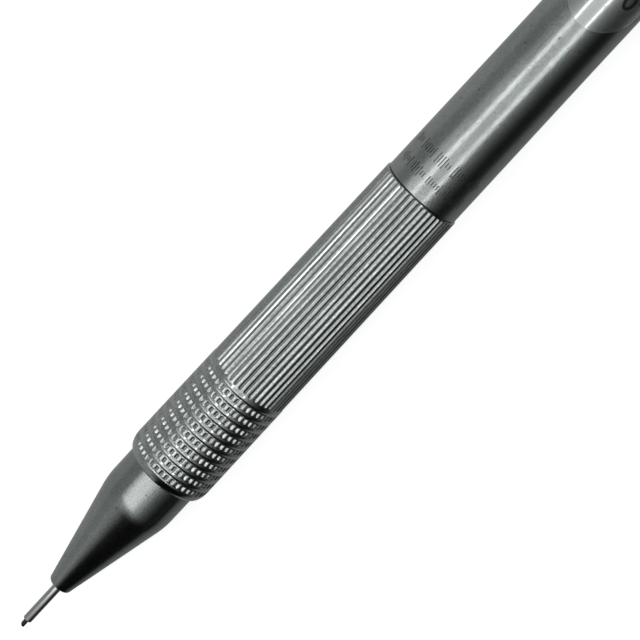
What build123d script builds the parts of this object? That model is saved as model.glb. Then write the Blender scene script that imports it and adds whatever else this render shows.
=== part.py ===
from build123d import *
import math
import os

# All-metal mechanical pencil, lying on its side. Millimetres.
# +X runs from the point to the push button, with x = 0 at the mouth of the lead sleeve, on the axis.
# +Z is up. The pencil is rolled so that its clip touches the surface that it lies on.

# How far a cutting shape reaches past the surface that it cuts
CUT_PAST = 1.0

# Lead and lead sleeve
LEAD_R = 0.25
LEAD_STICK_OUT = 0.95
LEAD_POINT_LENGTH = 0.3
LEAD_POINT_R = 0.1
LEAD_LENGTH = 60.0
SLEEVE_R = 0.475
SLEEVE_BACK_R = 0.68
SLEEVE_STEP_X = 5.0
SLEEVE_BORE_R = 0.29
SLEEVE_LENGTH = 9.2
SLEEVE_GAP = 0.02
SLIDER_X0 = 7.8
SLIDER_LENGTH = 3.0
SLIDER_R = 1.05
RETAINER_R = 0.85
RETAINER_X1 = 10.4
LEAD_GRIP_GAP = 0.012

# Nose cone
CONE_X0 = 5.1
CONE_FRONT_R = 1.19
CONE_EDGE_R = 0.25
CONE_SLOPE = 0.2115
CONE_BACK_R = 3.76
CONE_BLEND_R = 9.0
SPIGOT_R = 3.0
SPIGOT_X1 = 27.8
CHAMBER_R = 1.1
CHAMBER_X0 = 7.3
CHAMBER_X1 = 15.1
JAW_ROOM_R = 1.95
JAW_ROOM_X1 = 18.0
SOCKET_R = 2.6

# Grip: a knurled band with a round front shoulder, then long straight flutes
CONE_X1 = 21.4
CONE_GAP = 0.04
GRIP_X0 = CONE_X1 + CONE_GAP
GRIP_X1 = 58.45
BAND_R = 4.45
BAND_BACK_R = 4.34
SHOULDER_X1 = 22.8
SHOULDER_R = 1.1
BAND_CHAMFER = 0.1
ROWS = 10
ROW_X0 = 22.8
ROW_PITCH = 1.14
ROW_GROOVE_OFFSET = 0.35
ROW_GROOVE_WIDTH = 0.14
ROW_GROOVE_DEPTH = 0.08
FLUTES = 42
FLUTE_PHASE = 0.85  # where the first flute lies, as a share of the angle between two
FLUTE_X0 = 34.0
FLUTE_X1 = 58.3
FLUTE_FRONT_R = 4.30
FLUTE_BACK_R = 4.09
FLUTE_TOOL_R = 0.2
FLUTE_DEPTH = 0.13
SEAT_GAP = 0.03

# Barrel
SEAM_GAP = 0.05
BARREL_X0 = GRIP_X1 + SEAM_GAP
BARREL_FRONT_R = 3.965
SEAM_EDGE_R = 0.12
BARREL_MID_X = 78.8
BARREL_MID_R = 3.815
BARREL_BACK_R = 3.72
BARREL_BORE_R = 2.75
BARREL_STEP_X = 115.8
BARREL_TAIL_R = 3.2
BARREL_X1 = 121.8

# Bush that joins the grip to the barrel
BUSH_R = 3.2
BUSH_X0 = 49.8
BUSH_X1 = 65.8
BUSH_BORE_R = 2.0
BUSH_END_GAP = 0.3

# Clutch: three-jaw chuck, clutch ring, spring and housing
HOUSING_X0 = 20.3
HOUSING_X1 = 61.8
HOUSING_R = 2.55
HOUSING_BORE_R = 2.2
SHELF_X1 = 22.3
SHELF_BORE_R = 1.4
RING_X0 = 18.75
RING_X1 = 20.28
RING_R = 2.35
RING_BORE_R = 1.8
RING_EDGE_R = 0.2
CHUCK_X0 = 18.4
CHUCK_X1 = 35.8
CHUCK_HEAD_R = 1.75
CHUCK_STEM_R = 1.1
CHUCK_FACE_R = 1.45
CHUCK_FACE_LENGTH = 0.5
CHUCK_HEAD_X1 = 19.5
CHUCK_HEAD_SLOPE = 1.0
CHUCK_BORE_R = 0.5
CHUCK_BITE_X1 = 22.0
CHUCK_FUNNEL = 0.4
JAW_SLOTS = 3
JAW_SLOT_WIDTH = 0.3
JAW_SLOT_X1 = 29.8
WIRE_R = 0.19
SPRING_R = 1.72
SPRING_TURNS = 8
SPRING_GAP = 0.02
CONNECTOR_X0 = 33.7
CONNECTOR_X1 = 38.0
CONNECTOR_R = 2.05

# Lead tube, spare leads and eraser
TUBE_R = 1.7
TUBE_BORE_R = 1.35
TUBE_X1 = 127.8
SPARES = 5
SPARE_X0 = 60.3
SPARE_RING_R = 0.9
SPARE_TURN = 18.0
HOLDER_X0 = 123.8
HOLDER_X1 = 133.4
HOLDER_R = 2.25
HOLDER_FLOOR_X = 129.0
ERASER_R = 1.85
ERASER_EDGE_R = 0.25
ERASER_X1 = 138.0
NEEDLE_R = 0.2
NEEDLE_X0 = 103.8
NEEDLE_X1 = 130.8
NEEDLE_POINT = 0.6

# Clip ring, end collar and push button
CLIP_RING_X1 = 119.2
CLIP_RING_R = 4.1
CLIP_RING_GAP = 0.02
CLIP_RING_X0 = BARREL_STEP_X + CLIP_RING_GAP
CLIP_RING_EDGE_R = 0.15
COLLAR_X1 = 125.4
COLLAR_FRONT_R = 3.85
COLLAR_BACK_R = 3.55
COLLAR_EDGE_R = 0.25
COLLAR_BORE_R = 3.02
COLLAR_LIP_R = 2.6
COLLAR_LIP_X0 = 121.8
COLLAR_LIP_X1 = 122.2
BUTTON_X0 = 124.75
BUTTON_X1 = 141.3
BUTTON_R = 2.95
BUTTON_BORE_R = 2.28
BUTTON_ROOF = 1.5
BUTTON_TOP_EDGE_R = 0.7
BUTTON_EDGE_R = 0.15
BUTTON_RIBS = 5
BUTTON_RIB_X0 = 128.6
BUTTON_RIB_PITCH = 0.9
BUTTON_RIB_WIDTH = 0.3
BUTTON_RIB_DEPTH = 0.15

# Clip: a sprung steel strip that leaves the ring, runs towards the point and dips to the barrel
CLIP_ROLL = 26.0
CLIP_WIDTH = 3.2
CLIP_THICKNESS = 0.6
CLIP_RISE = 6.25
CLIP_SEAT_R = 3.75
CLIP_DROP = 0.75
CLIP_NOSE_DROP = 0.55
CLIP_ROOT_X1 = 119.0
CLIP_BEND_X = 116.3
CLIP_DIP_X = 92.3
CLIP_TOUCH_X = 88.9
CLIP_TIP_X = 86.3
CLIP_LIFT_GAP = 0.03
CLIP_TOUCH_GAP = 0.12

# Size label: a thin clear film wrapped round part of the barrel
LABEL_X0 = 79.6
LABEL_X1 = 96.8
LABEL_HALF_WIDTH = 3.4
LABEL_FILM = 0.05


def turned(points):
    """A solid of revolution about X from (x, radius) points."""
    return revolve(make_face(Polyline(*points, close=True)), Axis.X)


def tube(x0, x1, outer, inner):
    """A straight round tube along X."""
    return turned([(x0, inner), (x0, outer), (x1, outer), (x1, inner)])


def rounded_turned(points, corners):
    """A solid of revolution whose listed profile corners, {(x, radius): fillet}, are rounded."""
    face = make_face(Polyline(*points, close=True))
    for (x, radius), size in corners.items():
        corner = min(face.vertices(), key=lambda v: math.hypot(v.X - x, v.Y - radius))
        face = fillet(corner, size)
    return revolve(face, Axis.X)


def barrel_radius(x):
    """The barrel's outer radius: two gentle tapers that meet at BARREL_MID_X."""
    if x < BARREL_MID_X:
        share = (x - BARREL_X0) / (BARREL_MID_X - BARREL_X0)
        return BARREL_FRONT_R + share * (BARREL_MID_R - BARREL_FRONT_R)
    share = (x - BARREL_MID_X) / (BARREL_STEP_X - BARREL_MID_X)
    return BARREL_MID_R + share * (BARREL_BACK_R - BARREL_MID_R)


def grip_radius(x):
    """The grip's outer radius over the flutes."""
    share = (x - FLUTE_X0) / (GRIP_X1 - FLUTE_X0)
    return FLUTE_FRONT_R + share * (FLUTE_BACK_R - FLUTE_FRONT_R)


def make_lead():
    """The lead in use, with its worn point."""
    tip = -LEAD_STICK_OUT
    end = tip + LEAD_LENGTH
    return turned([(tip, 0), (tip, LEAD_POINT_R), (tip + LEAD_POINT_LENGTH, LEAD_R), (end, LEAD_R), (end, 0)])


def make_lead_sleeve():
    """The guide tube, a little thicker behind the step where it comes out of the cone."""
    return turned([
        (0, SLEEVE_BORE_R), (0, SLEEVE_R), (SLEEVE_STEP_X, SLEEVE_R), (SLEEVE_STEP_X, SLEEVE_BACK_R),
        (SLEEVE_LENGTH, SLEEVE_BACK_R), (SLEEVE_LENGTH, SLEEVE_BORE_R),
    ])


def make_sleeve_slider():
    """The brass bush on the sleeve's back end, which slides in the nose cone's chamber."""
    end = SLIDER_X0 + SLIDER_LENGTH
    return turned([
        (SLIDER_X0, SLEEVE_BACK_R), (SLIDER_X0, SLIDER_R), (end, SLIDER_R),
        (end, RETAINER_R), (SLEEVE_LENGTH, RETAINER_R), (SLEEVE_LENGTH, SLEEVE_BACK_R),
    ])


def make_lead_retainer():
    """The soft ring inside the slider, which stops the lead from falling back."""
    return tube(SLEEVE_LENGTH, RETAINER_X1, RETAINER_R, LEAD_R + LEAD_GRIP_GAP)


def make_nose_cone():
    """The cone, with its spigot for the grip and the chambers for the slider and the jaws."""
    slope_end = CONE_X0 + (CONE_BACK_R - CONE_FRONT_R) / CONE_SLOPE
    front_hole = SLEEVE_BACK_R + SLEEVE_GAP
    points = [
        (CONE_X0, front_hole), (CONE_X0, CONE_FRONT_R), (slope_end, CONE_BACK_R), (CONE_X1, CONE_BACK_R),
        (CONE_X1, SPIGOT_R), (SPIGOT_X1, SPIGOT_R), (SPIGOT_X1, SOCKET_R), (JAW_ROOM_X1, SOCKET_R),
        (JAW_ROOM_X1, JAW_ROOM_R), (CHAMBER_X1, JAW_ROOM_R), (CHAMBER_X1, CHAMBER_R),
        (CHAMBER_X0, CHAMBER_R), (CHAMBER_X0, front_hole),
    ]
    edges = {(slope_end, CONE_BACK_R): CONE_BLEND_R, (CONE_X0, CONE_FRONT_R): CONE_EDGE_R}
    return rounded_turned(points, edges)


def make_flute_cutter():
    """One flute's round-nosed cutter, leaned to follow the grip's taper, at the top of the grip."""
    length = FLUTE_X1 - FLUTE_X0 - 2 * FLUTE_TOOL_R
    rise = FLUTE_TOOL_R - FLUTE_DEPTH
    front = Vector(FLUTE_X0 + FLUTE_TOOL_R, 0, grip_radius(FLUTE_X0) + rise)
    back = Vector(front.X + length, 0, grip_radius(FLUTE_X1) + rise)
    rod_plane = Plane(origin=front, z_dir=back - front)
    rod = extrude(rod_plane * Circle(FLUTE_TOOL_R), (back - front).length)
    return rod + Pos(front) * Sphere(FLUTE_TOOL_R) + Pos(back) * Sphere(FLUTE_TOOL_R)


def make_grip():
    """The fluted and knurled grip, with the knurl's rows marked by their grooves."""
    points = [
        (GRIP_X0, SPIGOT_R + SEAT_GAP), (GRIP_X0, CONE_BACK_R),
        (GRIP_X0 + BAND_CHAMFER, CONE_BACK_R + BAND_CHAMFER), (SHOULDER_X1, BAND_R),
        (FLUTE_X0 - BAND_CHAMFER, BAND_BACK_R), (FLUTE_X0, FLUTE_FRONT_R), (GRIP_X1, FLUTE_BACK_R),
        (GRIP_X1, BUSH_R + SEAT_GAP), (BUSH_X0, BUSH_R + SEAT_GAP), (BUSH_X0, SPIGOT_R + SEAT_GAP),
    ]
    body = rounded_turned(points, {(SHOULDER_X1, BAND_R): SHOULDER_R})
    for row in range(ROWS):
        x = ROW_X0 + ROW_PITCH * row + ROW_GROOVE_OFFSET
        depth_r = BAND_R - (BAND_R - BAND_BACK_R) * (row + 1) / ROWS - ROW_GROOVE_DEPTH
        body -= tube(x, x + ROW_GROOVE_WIDTH, BAND_R + CUT_PAST, depth_r)
    cutter = make_flute_cutter()
    cutters = [Rot(360 / FLUTES * (k + FLUTE_PHASE), 0, 0) * cutter for k in range(FLUTES)]
    return body - cutters


def make_joint_bush():
    """The bush that the grip screws onto, fixed in the barrel's front end."""
    front = BUSH_X0 + BUSH_END_GAP
    return turned([
        (front, HOUSING_R), (front, BUSH_R), (BUSH_X1, BUSH_R), (BUSH_X1, BUSH_BORE_R),
        (HOUSING_X1, BUSH_BORE_R), (HOUSING_X1, HOUSING_R),
    ])


def make_barrel():
    """The long tube, with a thinner tail for the clip ring and the end collar."""
    points = [
        (BARREL_X0, BUSH_R), (BARREL_X0, BARREL_FRONT_R), (BARREL_MID_X, BARREL_MID_R),
        (BARREL_STEP_X, BARREL_BACK_R), (BARREL_STEP_X, BARREL_TAIL_R), (BARREL_X1, BARREL_TAIL_R),
        (BARREL_X1, BARREL_BORE_R), (BUSH_X1, BARREL_BORE_R), (BUSH_X1, BUSH_R),
    ]
    return rounded_turned(points, {(BARREL_X0, BARREL_FRONT_R): SEAM_EDGE_R})


def make_clutch_housing():
    """The brass tube that holds the clutch; its front shelf carries the spring and stops the ring."""
    return turned([
        (HOUSING_X0, SHELF_BORE_R), (HOUSING_X0, HOUSING_R), (HOUSING_X1, HOUSING_R),
        (HOUSING_X1, HOUSING_BORE_R), (SHELF_X1, HOUSING_BORE_R), (SHELF_X1, SHELF_BORE_R),
    ])


def make_chuck():
    """A split collet: three jaws with a conical head, on one stem."""
    bite_r = LEAD_R + LEAD_GRIP_GAP
    body = turned([
        (CHUCK_X0, bite_r), (CHUCK_X0, CHUCK_FACE_R), (CHUCK_X0 + CHUCK_FACE_LENGTH, CHUCK_HEAD_R),
        (CHUCK_HEAD_X1, CHUCK_HEAD_R), (CHUCK_HEAD_X1 + CHUCK_HEAD_SLOPE, CHUCK_STEM_R),
        (CHUCK_X1, CHUCK_STEM_R), (CHUCK_X1, CHUCK_BORE_R), (CHUCK_BITE_X1 + CHUCK_FUNNEL, CHUCK_BORE_R),
        (CHUCK_BITE_X1, bite_r),
    ])
    length = JAW_SLOT_X1 - CHUCK_X0 + CUT_PAST
    middle = Pos(JAW_SLOT_X1 - length / 2, 0, CHUCK_HEAD_R)
    slot = middle * Box(length, JAW_SLOT_WIDTH, 2 * CHUCK_HEAD_R)
    for k in range(JAW_SLOTS):
        body -= Rot(360 / JAW_SLOTS * k, 0, 0) * slot
    return body


def make_clutch_ring():
    """The loose ring that closes the jaws."""
    points = [(RING_X0, RING_BORE_R), (RING_X0, RING_R), (RING_X1, RING_R), (RING_X1, RING_BORE_R)]
    return rounded_turned(points, {(RING_X0, RING_R): RING_EDGE_R, (RING_X1, RING_R): RING_EDGE_R})


def make_chuck_spring():
    """The return spring between the housing's shelf and the connector."""
    x0 = SHELF_X1 + WIRE_R + SPRING_GAP
    height = CONNECTOR_X0 - WIRE_R - SPRING_GAP - x0
    path = Helix(pitch=height / SPRING_TURNS, height=height, radius=SPRING_R)
    wire = sweep(Plane(origin=path @ 0, z_dir=path % 0) * Circle(WIRE_R), path=path, is_frenet=True)
    return Pos(x0, 0, 0) * Rot(0, 90, 0) * wire


def make_tube_connector():
    """The brass collar that joins the chuck's stem to the lead tube."""
    return turned([
        (CONNECTOR_X0, CHUCK_STEM_R), (CONNECTOR_X0, CONNECTOR_R), (CONNECTOR_X1, CONNECTOR_R),
        (CONNECTOR_X1, TUBE_R), (CHUCK_X1, TUBE_R), (CHUCK_X1, CHUCK_STEM_R),
    ])


def make_lead_tube():
    """The tube that holds the spare leads and pushes the chuck."""
    return tube(CHUCK_X1, TUBE_X1, TUBE_R, TUBE_BORE_R)


def make_spare_leads():
    """The spare leads, standing in a ring inside the lead tube."""
    lead = Pos(SPARE_X0 + LEAD_LENGTH / 2, 0, SPARE_RING_R) * Rot(0, 90, 0) * Cylinder(LEAD_R, LEAD_LENGTH)
    return Compound(children=[Rot(360 / SPARES * k + SPARE_TURN, 0, 0) * lead for k in range(SPARES)])


def make_eraser_holder():
    """The metal cup that joins the lead tube to the eraser and carries the button."""
    return turned([
        (HOLDER_X0, TUBE_R), (HOLDER_X0, HOLDER_R), (HOLDER_X1, HOLDER_R), (HOLDER_X1, ERASER_R),
        (HOLDER_FLOOR_X, ERASER_R), (HOLDER_FLOOR_X, NEEDLE_R), (TUBE_X1, NEEDLE_R), (TUBE_X1, TUBE_R),
    ])


def make_eraser():
    """The eraser, with the needle's hole in its front end."""
    points = [
        (HOLDER_FLOOR_X, NEEDLE_R), (HOLDER_FLOOR_X, ERASER_R), (ERASER_X1, ERASER_R), (ERASER_X1, 0),
        (NEEDLE_X1, 0), (NEEDLE_X1, NEEDLE_R),
    ]
    return rounded_turned(points, {(ERASER_X1, ERASER_R): ERASER_EDGE_R})


def make_cleaning_needle():
    """The pointed wire that clears a jammed sleeve."""
    return turned([
        (NEEDLE_X0, 0), (NEEDLE_X0 + NEEDLE_POINT, NEEDLE_R), (NEEDLE_X1, NEEDLE_R), (NEEDLE_X1, 0),
    ])


def make_push_button():
    """The cap over the eraser, with ribs round its front half."""
    roof = BUTTON_X1 - BUTTON_ROOF
    points = [
        (BUTTON_X0, BUTTON_BORE_R), (BUTTON_X0, BUTTON_R), (BUTTON_X1, BUTTON_R), (BUTTON_X1, 0),
        (roof, 0), (roof, BUTTON_BORE_R),
    ]
    edges = {(BUTTON_X1, BUTTON_R): BUTTON_TOP_EDGE_R, (BUTTON_X0, BUTTON_R): BUTTON_EDGE_R}
    body = rounded_turned(points, edges)
    for rib in range(BUTTON_RIBS):
        x = BUTTON_RIB_X0 + BUTTON_RIB_PITCH * rib
        body -= tube(x, x + BUTTON_RIB_WIDTH, BUTTON_R + CUT_PAST, BUTTON_R - BUTTON_RIB_DEPTH)
    return body


def make_clip_ring():
    """The ring on the barrel's tail that the clip is fixed to."""
    points = [
        (CLIP_RING_X0, BARREL_TAIL_R), (CLIP_RING_X0, CLIP_RING_R),
        (CLIP_RING_X1, CLIP_RING_R), (CLIP_RING_X1, BARREL_TAIL_R),
    ]
    edges = {(CLIP_RING_X0, CLIP_RING_R): CLIP_RING_EDGE_R, (CLIP_RING_X1, CLIP_RING_R): CLIP_RING_EDGE_R}
    return rounded_turned(points, edges)


def make_end_collar():
    """The collar that screws onto the barrel's tail, traps the clip ring and guides the button."""
    points = [
        (CLIP_RING_X1, BARREL_TAIL_R), (CLIP_RING_X1, COLLAR_FRONT_R), (COLLAR_X1, COLLAR_BACK_R),
        (COLLAR_X1, COLLAR_BORE_R), (COLLAR_LIP_X1, COLLAR_BORE_R), (COLLAR_LIP_X1, COLLAR_LIP_R),
        (COLLAR_LIP_X0, COLLAR_LIP_R), (COLLAR_LIP_X0, BARREL_TAIL_R),
    ]
    return rounded_turned(points, {(COLLAR_X1, COLLAR_BACK_R): COLLAR_EDGE_R})


def make_clip():
    """The clip's strip, saddled on its ring: drawn above the barrel, then rolled down to the surface."""
    root_r = CLIP_RING_R + CLIP_LIFT_GAP
    touch_r = barrel_radius(CLIP_TOUCH_X) + CLIP_TOUCH_GAP
    nose_r = CLIP_RISE - CLIP_DROP - CLIP_NOSE_DROP
    outer = [
        (CLIP_ROOT_X1, CLIP_SEAT_R), (CLIP_ROOT_X1, root_r + CLIP_THICKNESS), (CLIP_BEND_X, CLIP_RISE),
        (CLIP_DIP_X, CLIP_RISE - CLIP_DROP), (CLIP_TOUCH_X, touch_r + CLIP_THICKNESS), (CLIP_TIP_X, nose_r),
    ]
    inner = [
        (CLIP_TIP_X, nose_r - CLIP_THICKNESS), (CLIP_TOUCH_X, touch_r),
        (CLIP_DIP_X, CLIP_RISE - CLIP_DROP - CLIP_THICKNESS), (CLIP_BEND_X, CLIP_RISE - CLIP_THICKNESS),
        (CLIP_RING_X0, CLIP_SEAT_R),
    ]
    side = make_face(Plane.XZ * Polyline(*outer, *inner, close=True))
    strip = extrude(side, CLIP_WIDTH / 2, both=True)
    strip -= tube(CLIP_TOUCH_X, CLIP_RING_X1, root_r, BARREL_TAIL_R)
    return Rot(-(90 + CLIP_ROLL), 0, 0) * strip


def make_size_label():
    """A thin clear film on the barrel's upper side, with round ends."""
    start = barrel_radius(LABEL_X0)
    end = barrel_radius(LABEL_X1)
    film = turned([
        (LABEL_X0, start), (LABEL_X0, start + LABEL_FILM), (LABEL_X1, end + LABEL_FILM), (LABEL_X1, end),
    ])
    length = LABEL_X1 - LABEL_X0
    outline = SlotOverall(length, 2 * LABEL_HALF_WIDTH)
    return film & Pos((LABEL_X0 + LABEL_X1) / 2, 0, 0) * extrude(outline, start + CUT_PAST)


os.makedirs("parts", exist_ok=True)
nodes = {
    "lead": make_lead(),
    "lead_sleeve": make_lead_sleeve(),
    "sleeve_slider": make_sleeve_slider(),
    "lead_retainer": make_lead_retainer(),
    "nose_cone": make_nose_cone(),
    "grip": make_grip(),
    "joint_bush": make_joint_bush(),
    "barrel": make_barrel(),
    "clutch_housing": make_clutch_housing(),
    "chuck": make_chuck(),
    "clutch_ring": make_clutch_ring(),
    "chuck_spring": make_chuck_spring(),
    "tube_connector": make_tube_connector(),
    "lead_tube": make_lead_tube(),
    "spare_leads": make_spare_leads(),
    "eraser_holder": make_eraser_holder(),
    "eraser": make_eraser(),
    "cleaning_needle": make_cleaning_needle(),
    "push_button": make_push_button(),
    "clip_ring": make_clip_ring(),
    "end_collar": make_end_collar(),
    "clip": make_clip(),
    "size_label": make_size_label(),
}
for name, shape in nodes.items():
    export_step(shape, os.path.join("parts", name + ".step"))
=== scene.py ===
import math
import random

import bmesh
import bpy
from mathutils import Matrix, Vector


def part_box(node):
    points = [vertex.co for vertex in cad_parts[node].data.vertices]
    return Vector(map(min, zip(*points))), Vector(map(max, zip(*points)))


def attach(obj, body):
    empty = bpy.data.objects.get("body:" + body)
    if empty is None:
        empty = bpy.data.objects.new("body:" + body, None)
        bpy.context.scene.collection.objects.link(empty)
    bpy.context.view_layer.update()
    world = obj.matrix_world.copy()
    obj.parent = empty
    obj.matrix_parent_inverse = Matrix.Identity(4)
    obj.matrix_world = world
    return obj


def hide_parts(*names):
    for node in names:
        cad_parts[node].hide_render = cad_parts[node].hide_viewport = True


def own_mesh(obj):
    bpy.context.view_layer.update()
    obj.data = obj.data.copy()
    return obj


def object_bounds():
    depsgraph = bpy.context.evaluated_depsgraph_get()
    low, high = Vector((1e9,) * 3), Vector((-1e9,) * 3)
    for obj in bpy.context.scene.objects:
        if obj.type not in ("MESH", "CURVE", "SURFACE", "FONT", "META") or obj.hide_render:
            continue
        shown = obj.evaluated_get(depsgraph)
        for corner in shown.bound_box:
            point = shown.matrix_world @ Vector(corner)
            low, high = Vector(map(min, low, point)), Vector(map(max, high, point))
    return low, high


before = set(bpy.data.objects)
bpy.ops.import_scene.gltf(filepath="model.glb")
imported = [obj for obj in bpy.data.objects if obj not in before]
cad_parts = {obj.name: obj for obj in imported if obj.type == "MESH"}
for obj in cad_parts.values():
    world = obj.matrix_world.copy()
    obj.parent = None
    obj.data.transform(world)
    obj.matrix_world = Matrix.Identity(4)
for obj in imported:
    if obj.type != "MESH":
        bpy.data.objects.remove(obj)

MM = 0.001
CAD_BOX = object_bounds()
TURN = 2 * math.pi
RNG = random.Random(7)

# ---------------------------------------------------------------- places, all read from the frame


def span(node):
    """(x of the front, x of the back, largest radius) of a round node."""
    low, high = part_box(node)
    return low[0], high[0], high[2]


SLEEVE_X0, SLEEVE_X1, SLEEVE_BACK_R = span("lead_sleeve")
CONE_X0, CONE_X1, CONE_R = span("nose_cone")
GRIP_X0, GRIP_X1, BAND_R = span("grip")
BARREL_X0, BARREL_X1, BARREL_R = span("barrel")
LEAD_X0, LEAD_X1, LEAD_R = span("lead")
LABEL_LOW, LABEL_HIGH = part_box("size_label")
FLOOR_Z = CAD_BOX[0][2]

# ---------------------------------------------------------------- materials

GRAIN_DEPTH = 0.022 * MM
LINE_BUMP = 0.008 * MM
POWDER_DEPTH = 0.02 * MM


class Finish:
    """A short way to write one procedural material."""

    def __init__(self, name):
        self.material = bpy.data.materials.new(name)
        self.material.use_nodes = True
        self.nodes = self.material.node_tree.nodes
        self.links = self.material.node_tree.links
        self.shader = self.nodes["Principled BSDF"]
        self.place = self.nodes.new("ShaderNodeTexCoord").outputs["Object"]

    def set(self, **values):
        """Sets the shader's plain sockets, with _ for each space in a name."""
        for key, value in values.items():
            self.shader.inputs[key.replace("_", " ")].default_value = value
        return self

    def noise(self, scale, detail=4.0, stretch=(1, 1, 1), roughness=0.55):
        """Noise in metres; stretch makes the grain longer along an axis where it is under 1."""
        mapping = self.nodes.new("ShaderNodeMapping")
        mapping.inputs["Scale"].default_value = stretch
        self.links.new(self.place, mapping.inputs["Vector"])
        texture = self.nodes.new("ShaderNodeTexNoise")
        texture.inputs["Scale"].default_value = scale
        texture.inputs["Detail"].default_value = detail
        texture.inputs["Roughness"].default_value = roughness
        self.links.new(mapping.outputs["Vector"], texture.inputs["Vector"])
        return texture.outputs["Fac"]

    def ramp(self, source, stops):
        """A colour ramp of (place, colour) stops; a plain value stands for a grey."""
        node = self.nodes.new("ShaderNodeValToRGB")
        while len(node.color_ramp.elements) < len(stops):
            node.color_ramp.elements.new(0.5)
        for element, (place, colour) in zip(node.color_ramp.elements, stops):
            element.position = place
            grey = isinstance(colour, (int, float))
            element.color = (colour, colour, colour, 1) if grey else (*colour, 1)
        self.links.new(source, node.inputs["Fac"])
        return node.outputs["Color"]

    def mix(self, share, first, second):
        """first where share is 0, second where it is 1; either may be a colour or a socket."""
        node = self.nodes.new("ShaderNodeMix")
        node.data_type = "RGBA"
        for value, socket in ((first, node.inputs[6]), (second, node.inputs[7])):
            if isinstance(value, bpy.types.NodeSocket):
                self.links.new(value, socket)
            else:
                socket.default_value = (*value, 1)
        self.links.new(share, node.inputs[0])
        return node.outputs[2]

    def times(self, first, second):
        """One colour times another."""
        node = self.nodes.new("ShaderNodeMix")
        node.data_type = "RGBA"
        node.blend_type = "MULTIPLY"
        node.inputs[0].default_value = 1.0
        self.links.new(first, node.inputs[6])
        self.links.new(second, node.inputs[7])
        return node.outputs[2]

    def feed(self, source, socket):
        """Drives one of the shader's sockets."""
        self.links.new(source, self.shader.inputs[socket])

    def bump(self, height, distance, strength):
        """Raises the surface by height times distance, in metres."""
        node = self.nodes.new("ShaderNodeBump")
        node.inputs["Distance"].default_value = distance
        node.inputs["Strength"].default_value = strength
        self.links.new(height, node.inputs["Height"])
        self.feed(node.outputs["Normal"], "Normal")


def satin_metal(name, colour, rough, grain, spread=0.06, depth=1.0, pits=True):
    """Blasted satin metal: a very fine grain, uneven roughness, soft stains and, if asked, dark pits."""
    finish = Finish(name).set(Metallic=1.0)
    fine = finish.noise(grain, 6.0)
    cloud = finish.noise(260.0, 5.0)
    tone = finish.ramp(cloud, [(0.3, [c * 0.9 for c in colour]), (0.7, [min(1, c * 1.07) for c in colour])])
    tone = finish.times(tone, finish.ramp(fine, [(0.36, 0.74), (0.64, 1.0)]))
    if pits:
        speck = finish.noise(1500.0, 2.0)
        dark = finish.ramp(speck, [(0.70, 0.0), (0.74, 1.0)])
        tone = finish.mix(dark, tone, [c * 0.45 for c in colour])
    finish.feed(tone, "Base Color")
    finish.feed(finish.ramp(fine, [(0.3, rough - spread), (0.7, rough + spread)]), "Roughness")
    finish.bump(fine, GRAIN_DEPTH * depth, 0.8)
    return finish.material


def turned_metal(name, colour, rough, scale=5200.0):
    """Bright turned metal with fine lines round its axis."""
    finish = Finish(name).set(Metallic=1.0)
    lines = finish.noise(scale, 3.0, (1, 0.03, 0.03))
    cloud = finish.noise(330.0, 4.0)
    finish.feed(finish.ramp(cloud, [(0.3, [c * 0.86 for c in colour]), (0.7, colour)]), "Base Color")
    finish.feed(finish.ramp(lines, [(0.3, rough - 0.05), (0.7, rough + 0.07)]), "Roughness")
    finish.bump(lines, LINE_BUMP, 0.5)
    return finish.material


def soft_solid(name, colour, rough, grain, metallic=0.0):
    """Rubber, vinyl, graphite or ink: a powdery grain and a little uneven colour."""
    finish = Finish(name).set(Metallic=metallic)
    fine = finish.noise(grain, 6.0)
    cloud = finish.noise(700.0, 4.0)
    finish.feed(finish.ramp(cloud, [(0.3, [c * 0.8 for c in colour]), (0.7, colour)]), "Base Color")
    finish.feed(finish.ramp(fine, [(0.3, rough - 0.08), (0.7, rough + 0.08)]), "Roughness")
    finish.bump(fine, POWDER_DEPTH, 0.5)
    return finish.material


def clear_film(name):
    """Thin glossy film, half see-through: it reads as a smooth, brighter skin over the satin metal."""
    finish = Finish(name).set(Base_Color=(0.80, 0.83, 0.815, 1), Metallic=0.93, Roughness=0.17, Alpha=0.6)
    finish.bump(finish.noise(420.0, 3.0), POWDER_DEPTH, 0.3)
    return finish.material


STEEL = (0.51, 0.54, 0.525)
CONE_METAL = satin_metal("cone_satin", (0.47, 0.50, 0.485), 0.15, 7000.0, 0.03, 0.2)
GRIP_METAL = satin_metal("grip_satin", (0.63, 0.66, 0.645), 0.10, 5200.0, 0.04, 0.15, pits=False)
BARREL_METAL = satin_metal("barrel_satin", STEEL, 0.14, 10000.0, 0.04, 0.7)
TAIL_METAL = satin_metal("tail_satin", STEEL, 0.17, 7000.0, 0.05)
SLEEVE_STEEL = turned_metal("sleeve_steel", (0.68, 0.70, 0.69), 0.10)
CLIP_STEEL = turned_metal("clip_steel", (0.60, 0.62, 0.61), 0.17, 3000.0)
BRASS = turned_metal("turned_brass", (0.72, 0.55, 0.27), 0.24)
DARK_BRASS = turned_metal("dark_bush", (0.10, 0.10, 0.10), 0.4)
SPRING_STEEL = turned_metal("spring_wire", (0.62, 0.62, 0.62), 0.2)
TUBE_METAL = turned_metal("drawn_tube", (0.74, 0.74, 0.75), 0.22)
GRAPHITE = soft_solid("graphite", (0.045, 0.047, 0.05), 0.42, 9000.0, 0.35)
RUBBER = soft_solid("black_rubber", (0.03, 0.03, 0.03), 0.6, 6000.0)
VINYL = soft_solid("white_vinyl", (0.82, 0.82, 0.79), 0.55, 5200.0)
FILM = clear_film("label_film")
INK = soft_solid("black_ink", (0.006, 0.006, 0.007), 0.5, 7000.0)
MARK = satin_metal("engraved_mark", (0.16, 0.17, 0.165), 0.34, 5200.0, 0.06, pits=False)

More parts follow.
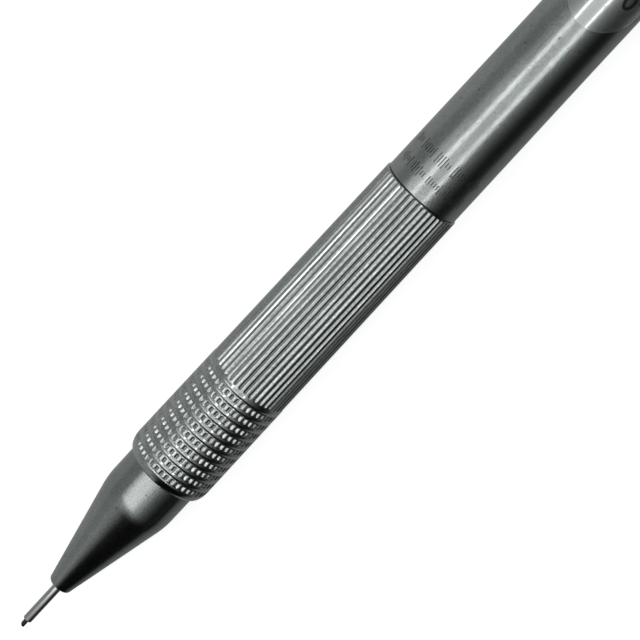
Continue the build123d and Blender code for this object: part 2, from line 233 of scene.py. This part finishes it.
CAD_LOOKS = {
    "lead": GRAPHITE,
    "spare_leads": GRAPHITE,
    "lead_sleeve": SLEEVE_STEEL,
    "sleeve_slider": BRASS,
    "lead_retainer": RUBBER,
    "nose_cone": CONE_METAL,
    "grip": GRIP_METAL,
    "joint_bush": DARK_BRASS,
    "barrel": BARREL_METAL,
    "clutch_housing": BRASS,
    "chuck": BRASS,
    "clutch_ring": BRASS,
    "chuck_spring": SPRING_STEEL,
    "tube_connector": BRASS,
    "lead_tube": TUBE_METAL,
    "eraser_holder": TUBE_METAL,
    "eraser": VINYL,
    "cleaning_needle": SPRING_STEEL,
    "push_button": TAIL_METAL,
    "clip_ring": CLIP_STEEL,
    "end_collar": TAIL_METAL,
    "clip": CLIP_STEEL,
    "size_label": FILM,
}


def paint_nodes():
    """Gives every CAD node its material, in its own slots."""
    for node, material in CAD_LOOKS.items():
        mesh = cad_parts[node].data
        if not mesh.materials:
            mesh.materials.append(material)
        for index in range(len(mesh.materials)):
            mesh.materials[index] = material


# ---------------------------------------------------------------- making meshes


SHARP_EDGE = math.radians(38)


def finished_piece(name, vertices, faces, material, body, node=None):
    """A smooth mesh piece that rides on a body and, where node is given, stands for that CAD node."""
    mesh = bpy.data.meshes.new(name)
    mesh.from_pydata(vertices, [], faces)
    mesh.materials.append(material)
    mesh.update()
    work = bmesh.new()
    work.from_mesh(mesh)
    bmesh.ops.recalc_face_normals(work, faces=work.faces)
    work.to_mesh(mesh)
    work.free()
    mesh.polygons.foreach_set("use_smooth", [True] * len(mesh.polygons))
    mesh.set_sharp_from_angle(angle=SHARP_EDGE)
    piece = bpy.data.objects.new(name, mesh)
    bpy.context.scene.collection.objects.link(piece)
    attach(piece, body)
    if node:
        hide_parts(node)
    return piece


def ring_faces(start, other, count):
    """Quads between two rings of count vertices."""
    return [(start + k, start + (k + 1) % count, other + (k + 1) % count, other + k) for k in range(count)]


def lathe(name, outline, material, body, node=None, count=192, closed=True):
    """A body of revolution about X from a list of (x, radius). A radius of 0 makes a pole.

    An outline that is not closed starts and ends at a pole.
    """
    vertices = []
    faces = []
    rings = []
    for x, radius in outline:
        if radius < 1e-9:
            rings.append((len(vertices), 1))
            vertices.append((x, 0, 0))
            continue
        rings.append((len(vertices), count))
        for k in range(count):
            angle = TURN * k / count
            vertices.append((x, radius * math.cos(angle), radius * math.sin(angle)))
    followers = rings[1:] + rings[:1] if closed else rings[1:]
    for (first, first_count), (second, second_count) in zip(rings, followers):
        if first_count == 1:
            faces += [(first, second + k, second + (k + 1) % count) for k in range(count)]
        elif second_count == 1:
            faces += [(first + k, second, first + (k + 1) % count) for k in range(count)]
        else:
            faces += ring_faces(first, second, count)
    return finished_piece(name, vertices, faces, material, body, node)


def corner(before, point, after, size, steps):
    """Points of a round corner at point, on the outline before-point-after."""
    a = (Vector(before) - Vector(point)).normalized() * size
    b = (Vector(after) - Vector(point)).normalized() * size
    middle = Vector(point)
    made = []
    for k in range(steps + 1):
        t = k / steps
        made.append(tuple(middle + a * (1 - t) ** 2 + b * t ** 2))
    return made


def soft_outline(points, rounding, steps=6):
    """A closed outline of (x, radius) whose corners are rounded by the sizes in rounding, {index: size}."""
    made = []
    count = len(points)
    for index, point in enumerate(points):
        if index in rounding:
            made += corner(points[index - 1], point, points[(index + 1) % count], rounding[index], steps)
        else:
            made.append(point)
    return made


def between(a, b, count):
    """count values from a to b, both included."""
    return [a + (b - a) * k / (count - 1) for k in range(count)]


# ---------------------------------------------------------------- nose cone, sleeve and lead

SLEEVE_R = 0.475 * MM
SLEEVE_BORE_R = 0.29 * MM
SLEEVE_STEP_X = 5.0 * MM
CONE_FRONT_R = 1.19 * MM
CONE_SLOPE = 0.2115
CONE_BLEND = 0.9 * MM
CONE_EDGE = 0.26 * MM
CONE_BACK_EDGE = 0.05 * MM
SPIGOT_X = 21.4 * MM
SPIGOT_R = 3.0 * MM
SOCKET_R = 2.6 * MM
JAW_ROOM_X0 = 15.1 * MM
JAW_ROOM_X1 = 18.0 * MM
JAW_ROOM_R = 1.95 * MM
CHAMBER_X = 7.3 * MM
CHAMBER_R = 1.1 * MM
CONE_HOLE_R = 0.70 * MM
MOUTH_EDGE = 0.03 * MM
WORN_EDGE = 0.07 * MM
LEAD_WORN = 0.42 * MM
LEAD_LEAN = 0.1 * MM


def make_nose_cone():
    """The cone with its spigot and its chambers, and a soft blend between slope and cylinder."""
    slope_end = CONE_X0 + (CONE_R - CONE_FRONT_R) / CONE_SLOPE
    outline = [
        (CONE_X0, CONE_HOLE_R), (CONE_X0, CONE_FRONT_R), (slope_end, CONE_R), (SPIGOT_X, CONE_R),
        (SPIGOT_X, SPIGOT_R), (CONE_X1, SPIGOT_R), (CONE_X1, SOCKET_R), (JAW_ROOM_X1, SOCKET_R),
        (JAW_ROOM_X1, JAW_ROOM_R), (JAW_ROOM_X0, JAW_ROOM_R), (JAW_ROOM_X0, CHAMBER_R),
        (CHAMBER_X, CHAMBER_R), (CHAMBER_X, CONE_HOLE_R),
    ]
    rounded = soft_outline(outline, {1: CONE_EDGE, 2: CONE_BLEND, 3: CONE_BACK_EDGE}, 10)
    lathe("nose_cone_shell", rounded, CONE_METAL, "nose_cone", "nose_cone", 256)


def make_sleeve():
    """The guide tube, worn round at its mouth and thicker behind its step."""
    outline = [
        (SLEEVE_X0, SLEEVE_BORE_R), (SLEEVE_X0, SLEEVE_R), (SLEEVE_STEP_X, SLEEVE_R),
        (SLEEVE_STEP_X, SLEEVE_BACK_R), (SLEEVE_X1, SLEEVE_BACK_R), (SLEEVE_X1, SLEEVE_BORE_R),
    ]
    rounded = soft_outline(outline, {0: MOUTH_EDGE, 1: WORN_EDGE})
    lathe("guide_sleeve", rounded, SLEEVE_STEEL, "lead_sleeve", "lead_sleeve", 96)


def make_lead():
    """The lead, worn to a blunt point that leans to one side."""
    worn = [(0.0, 0.0), (0.01, 0.09), (0.05, 0.155), (0.13, 0.205), (0.27, 0.24), (LEAD_WORN / MM, 0.25)]
    outline = [(LEAD_X0 + x * MM, r * MM) for x, r in worn] + [(LEAD_X1, LEAD_R), (LEAD_X1, 0)]
    piece = lathe("writing_lead", outline, GRAPHITE, "lead", "lead", 48, closed=False)
    for vertex in piece.data.vertices:
        share = max(0.0, 1 - (vertex.co.x - LEAD_X0) / LEAD_WORN)
        vertex.co.y -= LEAD_LEAN * share ** 2


# ---------------------------------------------------------------- grip, in millimetres

FLUTES = 42
PER_FLUTE = 12
ROWS = 10
ROW_X0 = 22.8
ROW_PITCH = 1.14
TOOTH_HALF = 0.31
TOOTH_FADE = 0.07
TOOTH_DEPTH = 0.15
LINE_DEPTH = 0.055
LINES = ((0.36, 0.07, 1.0), (-0.34, 0.06, 0.5))  # offset from the row's middle, half width, share of depth
FLUTE_START = 34.05
FLUTE_END = 58.42
FLUTE_DEPTH = 0.14
RUN_OUT = 0.2
SHOULDER = 1.4
SHOULDER_R = 3.82
BAND_BACK_R = 4.34
FLUTE_FRONT_R = 4.30
FLUTE_BACK_R = 4.09
GRIP_BORE_R = 3.03
GRIP_SOCKET_R = 3.23
GRIP_SOCKET_X = 49.8
RIM_EDGE = 0.06
FLUTE_TURN = math.radians(3.0)
VALLEY_HALF = 0.30
KNURL_SHARP_EDGE = math.radians(60)
ROW_STEPS = (-0.40, -0.34, -0.31, -0.27, -0.23, -0.12, 0.0, 0.12, 0.23, 0.27, 0.31, 0.35, 0.39, 0.44)
STEP_STEPS = (-0.16, -0.11, -0.06)
FLUTE_END_STEPS = (0.0, 0.015, 0.05, 0.1, 0.17, 0.25, 0.34, 0.5)
SHOULDER_STEPS = 12


def smooth(share):
    """An even rise from 0 to 1 with soft ends."""
    share = min(1.0, max(0.0, share))
    return share * share * (3 - 2 * share)


def crest_radius(x):
    """The grip's radius over its crests."""
    front = GRIP_X0 / MM
    if x < front + SHOULDER:
        share = (x - front) / SHOULDER
        return SHOULDER_R + (BAND_R / MM - SHOULDER_R) * math.sqrt(max(0.0, 1 - (1 - share) ** 2))
    if x < FLUTE_START - 0.12:
        share = (x - front - SHOULDER) / (FLUTE_START - front - SHOULDER)
        return BAND_R / MM + share * (BAND_BACK_R - BAND_R / MM)
    share = (x - FLUTE_START) / (GRIP_X1 / MM - FLUTE_START)
    return FLUTE_FRONT_R + max(0.0, share) * (FLUTE_BACK_R - FLUTE_FRONT_R)


def groove(offset, half):
    """How deep a turned line is at this offset from its middle, from 0 to 1."""
    return max(0.0, 1 - (offset / half) ** 2)


def ridge(phase):
    """How deep the valley between two crests is: 1 along its middle, 0 on the flat of a crest."""
    return max(0.0, 1 - abs(phase) / VALLEY_HALF)


def grip_cut(x, phase):
    """The depth of the knurl or the flute at x, at a phase from -0.5 to 0.5 between two crests."""
    if x > FLUTE_START - 0.01:
        along = min(x - FLUTE_START, FLUTE_END - x) / RUN_OUT
        if along <= 0:
            return 0.0
        fade = math.sqrt(1 - (1 - min(1.0, along)) ** 2)
        return FLUTE_DEPTH * max(0.0, ridge(phase) - 1 + fade)
    row = round((x - ROW_X0) / ROW_PITCH)
    if not 0 <= row < ROWS:
        return 0.0
    offset = x - ROW_X0 - row * ROW_PITCH
    fade = smooth((TOOTH_HALF - abs(offset)) / TOOTH_FADE)
    line = sum(share * groove(offset - place, half) for place, half, share in LINES)
    return max(TOOTH_DEPTH * fade * ridge(phase), LINE_DEPTH * line)


def grip_stations():
    """Where the grip's rings of points lie along X: close together on every edge."""
    front = GRIP_X0 / MM
    turns = between(0.0, math.pi / 2, SHOULDER_STEPS + 1)
    places = [front + SHOULDER * (1 - math.cos(turn)) for turn in turns]
    for row in range(ROWS):
        places += [ROW_X0 + row * ROW_PITCH + step for step in ROW_STEPS]
    places += [FLUTE_START + step for step in STEP_STEPS + FLUTE_END_STEPS]
    places += [FLUTE_END - step for step in FLUTE_END_STEPS]
    places += between(FLUTE_START + 1, FLUTE_END - 1, 12)
    places += [GRIP_X1 / MM - RIM_EDGE]
    return sorted(place for place in set(places) if place >= front)


def make_grip():
    """The grip as one mesh: the knurled band, the flutes, and the plain bore and socket inside."""
    count = FLUTES * PER_FLUTE
    rings = []
    for x in grip_stations():
        crest = crest_radius(x)
        one_flute = [crest - grip_cut(x, (k / PER_FLUTE + 0.5) % 1 - 0.5) for k in range(PER_FLUTE)]
        rings.append((x, one_flute))
    back = GRIP_X1 / MM
    plain = [
        (back, FLUTE_BACK_R - RIM_EDGE), (back, GRIP_SOCKET_R), (GRIP_SOCKET_X, GRIP_SOCKET_R),
        (GRIP_SOCKET_X, GRIP_BORE_R), (GRIP_X0 / MM, GRIP_BORE_R),
    ]
    rings += [(x, [radius] * PER_FLUTE) for x, radius in plain]
    vertices = []
    for x, radii in rings:
        for k in range(count):
            angle = TURN * k / count + FLUTE_TURN
            radius = radii[k % PER_FLUTE] * MM
            vertices.append((x * MM, radius * math.cos(angle), radius * math.sin(angle)))
    faces = []
    for index in range(len(rings)):
        faces += ring_faces(index * count, (index + 1) % len(rings) * count, count)
    piece = finished_piece("knurled_grip", vertices, faces, GRIP_METAL, "grip", "grip")
    piece.data.set_sharp_from_angle(angle=KNURL_SHARP_EDGE)


# ---------------------------------------------------------------- barrel, marks and label

BARREL_MID_X = 78.8 * MM
BARREL_MID_R = 3.815 * MM
BARREL_BACK_R = 3.72 * MM
BARREL_TAIL_R = 3.2 * MM
BARREL_BORE_R = 2.75 * MM
BUSH_R = 3.2 * MM
BUSH_X1 = 65.8 * MM
BARREL_STEP_X = 115.8 * MM
SEAM_EDGE = 0.11 * MM
STEP_EDGE = 0.08 * MM


def barrel_radius(x):
    """The barrel's outer radius at x."""
    if x < BARREL_MID_X:
        share = (x - BARREL_X0) / (BARREL_MID_X - BARREL_X0)
        return BARREL_R + share * (BARREL_MID_R - BARREL_R)
    share = (x - BARREL_MID_X) / (BARREL_STEP_X - BARREL_MID_X)
    return BARREL_MID_R + share * (BARREL_BACK_R - BARREL_MID_R)


def make_barrel():
    """The barrel tube, with the turned edge at the seam and the thinner tail."""
    outer = [(x, barrel_radius(x)) for x in between(BARREL_X0 + 2 * MM, BARREL_STEP_X - MM, 24)]
    outline = [(BARREL_X0, BUSH_R), (BARREL_X0, BARREL_R)] + outer + [
        (BARREL_STEP_X, BARREL_BACK_R), (BARREL_STEP_X, BARREL_TAIL_R), (BARREL_X1, BARREL_TAIL_R),
        (BARREL_X1, BARREL_BORE_R), (BUSH_X1, BARREL_BORE_R), (BUSH_X1, BUSH_R),
    ]
    rounded = soft_outline(outline, {1: SEAM_EDGE, 2 + len(outer): STEP_EDGE})
    lathe("barrel_tube", rounded, BARREL_METAL, "barrel", "barrel", 256)


def on_barrel(x, angle, lift):
    """A point lift above the barrel; angle 0 is the top, and it grows towards -Y."""
    radius = barrel_radius(x) + lift
    return (x, -radius * math.sin(angle), radius * math.cos(angle))


def wrapped_plate(x0, x1, angle0, angle1, low, high, across=5):
    """Vertices and faces of a small closed plate that follows the barrel."""
    vertices = []
    for x in (x0, x1):
        for lift in (low, high):
            vertices += [on_barrel(x, angle, lift) for angle in between(angle0, angle1, across)]
    faces = []
    n = across
    for k in range(n - 1):
        faces.append((k, k + 1, n + k + 1, n + k))
        faces.append((2 * n + k, 3 * n + k, 3 * n + k + 1, 2 * n + k + 1))
        faces.append((n + k, n + k + 1, 3 * n + k + 1, 3 * n + k))
        faces.append((k, 2 * n + k, 2 * n + k + 1, k + 1))
    faces.append((0, n, 3 * n, 2 * n))
    faces.append((n - 1, 3 * n - 1, 4 * n - 1, 2 * n - 1))
    return vertices, faces


MARK_ROWS = ((59.95 * MM, 61.05 * MM), (62.0 * MM, 63.2 * MM))
MARK_SPAN = (-68, 60)
MARK_PITCH = 4.1
MARK_HALF_ANGLE = 0.75
MARK_HEIGHTS = (0.45, 0.7, 1.0)
MARK_GROUP = 7
MARK_LIFT = 0.006 * MM


def make_marks():
    """Two rows of plain engraved strokes of three heights behind the seam, in groups."""
    vertices = []
    faces = []
    for row, (low, high) in enumerate(MARK_ROWS):
        count = int((MARK_SPAN[1] - MARK_SPAN[0]) / MARK_PITCH)
        for k in range(count):
            height = RNG.choice(MARK_HEIGHTS)
            if (k + 3 * row) % MARK_GROUP == 0:
                continue
            angle = MARK_SPAN[0] + (k + 0.5 * row) * MARK_PITCH
            middle = (low + high) / 2
            half_length = height * (high - low) / 2
            plate = wrapped_plate(
                middle - half_length, middle + half_length,
                math.radians(angle - MARK_HALF_ANGLE), math.radians(angle + MARK_HALF_ANGLE),
                -MARK_LIFT, MARK_LIFT,
            )
            base = len(vertices)
            vertices += plate[0]
            faces += [tuple(base + v for v in face) for face in plate[1]]
    piece = finished_piece("engraved_strokes", vertices, faces, MARK, "barrel")


FILM_LOW = 0.004 * MM
FILM_HIGH = 0.05 * MM
FILM_TIP = 0.02 * MM
FILM_ACROSS = 49
FILM_END_ROWS = 25
TEXT_HEIGHT = 1.8 * MM
TEXT_TOP_X = 82.95 * MM
TEXT_ANGLE = math.radians(41.0)
INK_LIFT = 0.052 * MM
INK_THICK = 0.012 * MM
INK_SPREAD = 0.03 * MM
LETTER_SHARE = 0.72  # a figure's height as a share of its font size
LETTER_SPACING = 1.05
LONGEST_EDGE = 0.25 * MM


def make_label():
    """The clear film: a strip with round ends that follows the barrel's upper side."""
    x0, x1 = LABEL_LOW[0], LABEL_HIGH[0]
    half = LABEL_HIGH[1]
    across = FILM_ACROSS
    turns = between(0.0, math.pi / 2, FILM_END_ROWS)
    rows = [(x0 + half * (1 - math.cos(turn)), half * math.sin(turn)) for turn in turns]
    rows += [(x, half) for x in between(x0 + half, x1 - half, 10)[1:-1]]
    rows += [(x0 + x1 - x, width) for x, width in reversed(rows[:FILM_END_ROWS])]
    vertices = []
    for lift in (FILM_LOW, FILM_HIGH):
        for x, width in rows:
            reach = max(width, FILM_TIP)
            radius = barrel_radius(x) + lift
            for y in between(-reach, reach, across):
                vertices.append((x, y, math.sqrt(radius ** 2 - y ** 2)))
    sheet = len(rows) * across
    faces = []
    for k in range(len(rows) - 1):
        for j in range(across - 1):
            a = k * across + j
            faces.append((a, a + 1, a + across + 1, a + across))
            faces.append((sheet + a, sheet + a + across, sheet + a + across + 1, sheet + a + 1))
        a = k * across
        b = a + across - 1
        faces.append((a, a + across, sheet + a + across, sheet + a))
        faces.append((b, sheet + b, sheet + b + across, b + across))
    last = sheet - across
    for j in range(across - 1):
        faces.append((j, sheet + j, sheet + j + 1, j + 1))
        faces.append((last + j, last + j + 1, sheet + last + j + 1, sheet + last + j))
    finished_piece("label_strip", vertices, faces, FILM, "barrel", "size_label")


def make_size_mark():
    """The printed lead size, wrapped round the film with its tops towards the point."""
    curve = bpy.data.curves.new("size_text", "FONT")
    curve.body = "0.5"
    curve.size = TEXT_HEIGHT / LETTER_SHARE
    curve.space_character = LETTER_SPACING
    curve.offset = INK_SPREAD
    curve.extrude = INK_THICK / 2
    holder = bpy.data.objects.new("size_text", curve)
    bpy.context.scene.collection.objects.link(holder)
    bpy.context.view_layer.update()
    mesh = bpy.data.meshes.new_from_object(holder.evaluated_get(bpy.context.evaluated_depsgraph_get()))
    bpy.data.objects.remove(holder)
    bpy.data.curves.remove(curve)
    work = bmesh.new()
    work.from_mesh(mesh)
    bmesh.ops.remove_doubles(work, verts=work.verts, dist=1e-7)
    bmesh.ops.triangulate(work, faces=work.faces)
    for _ in range(2):
        long_edges = [edge for edge in work.edges if edge.calc_length() > LONGEST_EDGE]
        bmesh.ops.subdivide_edges(work, edges=long_edges, cuts=1)
        bmesh.ops.triangulate(work, faces=work.faces)
    for vertex in work.verts:
        x = TEXT_TOP_X + TEXT_HEIGHT - vertex.co.y
        angle = TEXT_ANGLE - vertex.co.x / barrel_radius(x)
        vertex.co = on_barrel(x, angle, INK_LIFT + vertex.co.z)
    bmesh.ops.recalc_face_normals(work, faces=work.faces)
    work.to_mesh(mesh)
    work.free()
    mesh.materials.clear()
    mesh.materials.append(INK)
    mesh.name = "size_mark"
    piece = bpy.data.objects.new("size_mark", mesh)
    bpy.context.scene.collection.objects.link(piece)
    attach(piece, "barrel")


# ---------------------------------------------------------------- spring


def make_spring():
    """The return spring: a copy of the CAD spring that rides on the barrel."""
    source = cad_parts["chuck_spring"]
    piece = bpy.data.objects.new("return_spring", source.data.copy())
    bpy.context.scene.collection.objects.link(piece)
    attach(piece, "barrel")
    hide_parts("chuck_spring")
    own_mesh(piece)


# ---------------------------------------------------------------- stage, light and camera


FLOOR_SIZE = 6
FLOOR_CENTRE_X = 0.07
FLOOR_COLOUR = (0.88, 0.88, 0.88, 1)
FLOOR_GLOW = 0.72
WHITE = (1, 1, 1, 1)
TABLE_EDGE = -0.07
TABLE_AHEAD = (-0.090, -0.055)
TABLE_AHEAD_SHADE = 0.25
TABLE_TINT = (0.965, 1.0, 0.98)
TABLE_STOPS = ((0.0, 0.02), (0.5, 0.05), (0.74, 0.14), (0.90, 0.20), (0.99, 0.27), (1.0, 0.33))
SKY_FOR_CAMERA = 0.92
SKY_TINT = (0.97, 1.0, 0.985)
SKY_STOPS = (
    (-100, 0.27), (-74, 0.235), (-56, 0.25), (-42, 0.33), (-25, 0.50), (25, 0.50), (32, 0.27), (46, 0.12),
    (60, 0.045), (72, 0.012), (88, 0.012), (96, 0.10),
)
FRONT_STOPS = (
    (-100, 0.27), (-62, 0.29), (-42, 0.35), (-24, 0.25), (-10, 0.14), (-2, 0.08), (5, 0.035), (14, 0.008),
    (40, 0.003), (88, 0.003), (104, 0.04),
)
FRONT_RANGE = (-0.48, -0.68)


class Scenery:
    """A short way to write the node trees of the floor and of the studio."""

    def __init__(self, tree):
        tree.nodes.clear()
        self.nodes = tree.nodes
        self.links = tree.links

    def add(self, kind, *sources, **settings):
        """The first output of a node; each source, a socket or a plain value, goes to the next input."""
        node = self.nodes.new(kind)
        for key, value in settings.items():
            setattr(node, key, value)
        for source, socket in zip(sources, node.inputs):
            if isinstance(source, bpy.types.NodeSocket):
                self.links.new(source, socket)
            else:
                socket.default_value = source
        return node.outputs[0]

    def part(self, kind, name, source=None):
        """The named output of a node that takes at most one source."""
        node = self.nodes.new(kind)
        if source is not None:
            self.links.new(source, node.inputs[0])
        return node.outputs[name]

    def surface(self, kind, shader):
        """The tree's output node."""
        self.links.new(shader, self.nodes.new(kind).inputs["Surface"])

    def ramp(self, share, stops, tint):
        """Tinted greys by (place, grey) stops."""
        node = self.nodes.new("ShaderNodeValToRGB")
        while len(node.color_ramp.elements) < len(stops):
            node.color_ramp.elements.new(0.5)
        for element, (place, grey) in zip(node.color_ramp.elements, stops):
            element.position = place
            element.color = (*[grey * part for part in tint], 1)
        self.links.new(share, node.inputs["Fac"])
        return node.outputs["Color"]


def make_floor():
    """A plain pale floor. In the metal it shows as a shaded table, darker towards -Y and past the point."""
    bpy.ops.mesh.primitive_plane_add(size=FLOOR_SIZE, location=(FLOOR_CENTRE_X, 0, FLOOR_Z))
    floor = bpy.context.object
    floor.name = "floor"
    material = bpy.data.materials.new("pale_floor")
    material.use_nodes = True
    tree = Scenery(material.node_tree)
    lit = tree.add(
        "ShaderNodeAddShader",
        tree.add("ShaderNodeBsdfDiffuse", FLOOR_COLOUR),
        tree.add("ShaderNodeEmission", WHITE, FLOOR_GLOW),
    )
    place = tree.part("ShaderNodeTexCoord", "Object")
    x = tree.part("ShaderNodeSeparateXYZ", "X", place)
    y = tree.part("ShaderNodeSeparateXYZ", "Y", place)
    shade = tree.ramp(tree.add("ShaderNodeMapRange", y, TABLE_EDGE, 0.0), TABLE_STOPS, TABLE_TINT)
    ahead = tree.add(
        "ShaderNodeMapRange", x, *TABLE_AHEAD, TABLE_AHEAD_SHADE, interpolation_type="SMOOTHSTEP",
    )
    side = tree.add("ShaderNodeMath", y, 0.0, operation="GREATER_THAN")
    strength = tree.add("ShaderNodeMath", ahead, side, operation="MAXIMUM")
    table = tree.add("ShaderNodeEmission", shade, strength)
    glossy = tree.part("ShaderNodeLightPath", "Is Glossy Ray")
    tree.surface("ShaderNodeOutputMaterial", tree.add("ShaderNodeMixShader", glossy, lit, table))
    floor.data.materials.append(material)


def by_degrees(stops):
    """Ramp stops from stops in degrees, between -180 and 180."""
    return [((degrees + 180) / 360, grey) for degrees, grey in stops]


def make_studio():
    """Studio walls: mid grey on the +Y side, dark towards -Y, and darker still in front of the point."""
    world = bpy.data.worlds.new("studio")
    bpy.context.scene.world = world
    world.use_nodes = True
    tree = Scenery(world.node_tree)
    direction = tree.part("ShaderNodeTexCoord", "Generated")
    x = tree.part("ShaderNodeSeparateXYZ", "X", direction)
    y = tree.part("ShaderNodeSeparateXYZ", "Y", direction)
    z = tree.part("ShaderNodeSeparateXYZ", "Z", direction)
    aside = tree.add("ShaderNodeMath", y, -1.0, operation="MULTIPLY")
    angle = tree.add("ShaderNodeMath", aside, z, operation="ARCTAN2")
    turn = tree.add("ShaderNodeMapRange", angle, -math.pi, math.pi)
    front = tree.add("ShaderNodeMapRange", x, *FRONT_RANGE, interpolation_type="SMOOTHSTEP")
    mix = tree.nodes.new("ShaderNodeMix")
    mix.data_type = "RGBA"
    tree.links.new(front, mix.inputs[0])
    tree.links.new(tree.ramp(turn, by_degrees(SKY_STOPS), SKY_TINT), mix.inputs[6])
    tree.links.new(tree.ramp(turn, by_degrees(FRONT_STOPS), SKY_TINT), mix.inputs[7])
    walls = tree.add("ShaderNodeBackground", mix.outputs[2])
    plain = tree.add("ShaderNodeBackground", WHITE, SKY_FOR_CAMERA)
    seen = tree.part("ShaderNodeLightPath", "Is Camera Ray")
    tree.surface("ShaderNodeOutputWorld", tree.add("ShaderNodeMixShader", seen, walls, plain))


LAMP_HEIGHT = 0.40
PANEL_X = (-0.09, 0.30)
PANEL_HALF = 0.150
PANEL_POWER = 0.25
PANEL_LIFT = 0.01
STRIPS = (-0.143, 0.128)
STRIP_WIDTH = 0.026
STRIP_POWER = 3.25
FRONT_PANEL_X = (-0.215, -0.09)
FRONT_PANELS = ((-0.112, 0.42, 0.44), (-0.052, 0.33, 0.26), (0.0, 0.25, 0.14))
SIDE_PANEL_X = (-0.09, -0.02)
SIDE_PANEL = (0.17, 0.48, 0.5)


def area_lamp(name, reach, y0, y1, radiance, lift=0.0):
    """A flat lamp over the pencil, from y0 to y1, as bright as radiance from everywhere."""
    light = bpy.data.lights.new(name, "AREA")
    light.shape = "RECTANGLE"
    light.size = reach[1] - reach[0]
    light.size_y = y1 - y0
    light.energy = radiance * math.pi * light.size * light.size_y
    lamp = bpy.data.objects.new(name, light)
    lamp.location = ((reach[0] + reach[1]) / 2, (y0 + y1) / 2, LAMP_HEIGHT + lift)
    bpy.context.scene.collection.objects.link(lamp)


def make_lamps():
    """A wide panel and two bright tubes over the pencil, and softer panels ahead of it and beside it."""
    area_lamp("panel", PANEL_X, -PANEL_HALF, PANEL_HALF, PANEL_POWER, PANEL_LIFT)
    for index, (y0, y1, radiance) in enumerate(FRONT_PANELS):
        area_lamp(f"front_panel_{index}", FRONT_PANEL_X, y0, y1, radiance, PANEL_LIFT * index)
    area_lamp("side_panel", SIDE_PANEL_X, *SIDE_PANEL)
    for index, y in enumerate(STRIPS):
        area_lamp(f"tube_{index}", PANEL_X, y - STRIP_WIDTH / 2, y + STRIP_WIDTH / 2, STRIP_POWER)


CAMERA_X = 95.15 * MM
CAMERA_HEIGHT = 184.1 * MM
CAMERA_TILT = math.radians(15.8)
CAMERA_ROLL = math.radians(47.2)
CAMERA_SIDE = math.radians(0.32)
CAMERA_LENS = 115.3
CAMERA_SENSOR = 36.0
CAMERA_CLIP = 0.005


def make_camera():
    """Over the barrel, looking down and a little forwards, rolled so that the point is lower left."""
    along = Vector((math.cos(CAMERA_TILT), 0, -math.sin(CAMERA_TILT)))
    ahead = Vector((-math.sin(CAMERA_TILT), 0, -math.cos(CAMERA_TILT)))
    aside = Vector((0, -1, 0))
    ahead, aside = (
        ahead * math.cos(CAMERA_SIDE) + aside * math.sin(CAMERA_SIDE),
        aside * math.cos(CAMERA_SIDE) - ahead * math.sin(CAMERA_SIDE),
    )
    right = along * math.cos(CAMERA_ROLL) + aside * math.sin(CAMERA_ROLL)
    up = along * math.sin(CAMERA_ROLL) - aside * math.cos(CAMERA_ROLL)
    data = bpy.data.cameras.new("camera")
    data.lens = CAMERA_LENS
    data.sensor_width = CAMERA_SENSOR
    data.clip_start = CAMERA_CLIP
    camera = bpy.data.objects.new("camera", data)
    turn = Matrix((right, up, -ahead)).transposed().to_4x4()
    camera.matrix_world = Matrix.Translation((CAMERA_X, 0, CAMERA_HEIGHT)) @ turn
    bpy.context.scene.collection.objects.link(camera)
    bpy.context.scene.camera = camera


bpy.context.scene.view_settings.view_transform = "Standard"
paint_nodes()
make_nose_cone()
make_sleeve()
make_lead()
make_grip()
make_barrel()
make_marks()
make_label()
make_size_mark()
make_spring()
make_floor()
make_studio()
make_lamps()
make_camera()
